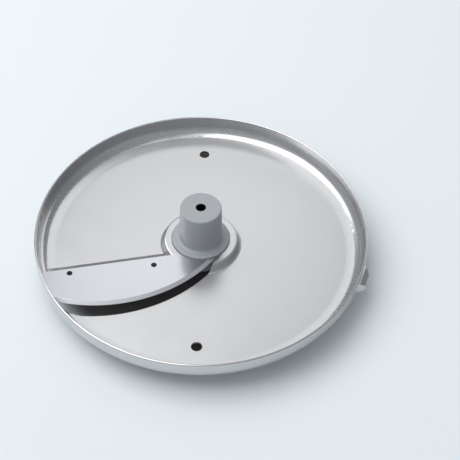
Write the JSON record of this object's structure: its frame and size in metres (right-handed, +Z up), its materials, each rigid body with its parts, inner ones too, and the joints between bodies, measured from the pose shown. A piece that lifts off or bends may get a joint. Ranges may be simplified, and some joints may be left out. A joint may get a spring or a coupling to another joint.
{
  "type": "food processor slicing disc",
  "caption": "Round stainless slicing disc with an upturned rim, a raised sickle blade over a throat, and a tall moulded drive hub at its centre.",
  "frame": {"origin": "centre of the drive bore's mouth, on the hub's bottom face", "axes": "+Z up through the hub, from the drive side to the food side; the two plate holes lie on Y; the blade lies towards -X"},
  "size_m": [0.174, 0.174, 0.038],
  "materials": {
    "plate_steel": "satin stainless sheet",
    "blade_steel": "finely ground stainless, bright at the bevel",
    "screw_steel": "plain stainless",
    "hub_plastic": "grey moulded plastic with a soft sheen"
  },
  "bodies": {
    "root": {"disc_plate": "plate_steel", "slicing_blade": "blade_steel", "blade_screw_outer": "screw_steel", "blade_screw_inner": "screw_steel", "hub": "hub_plastic", "hub_nut": "hub_plastic"}
  },
  "joints": []
}
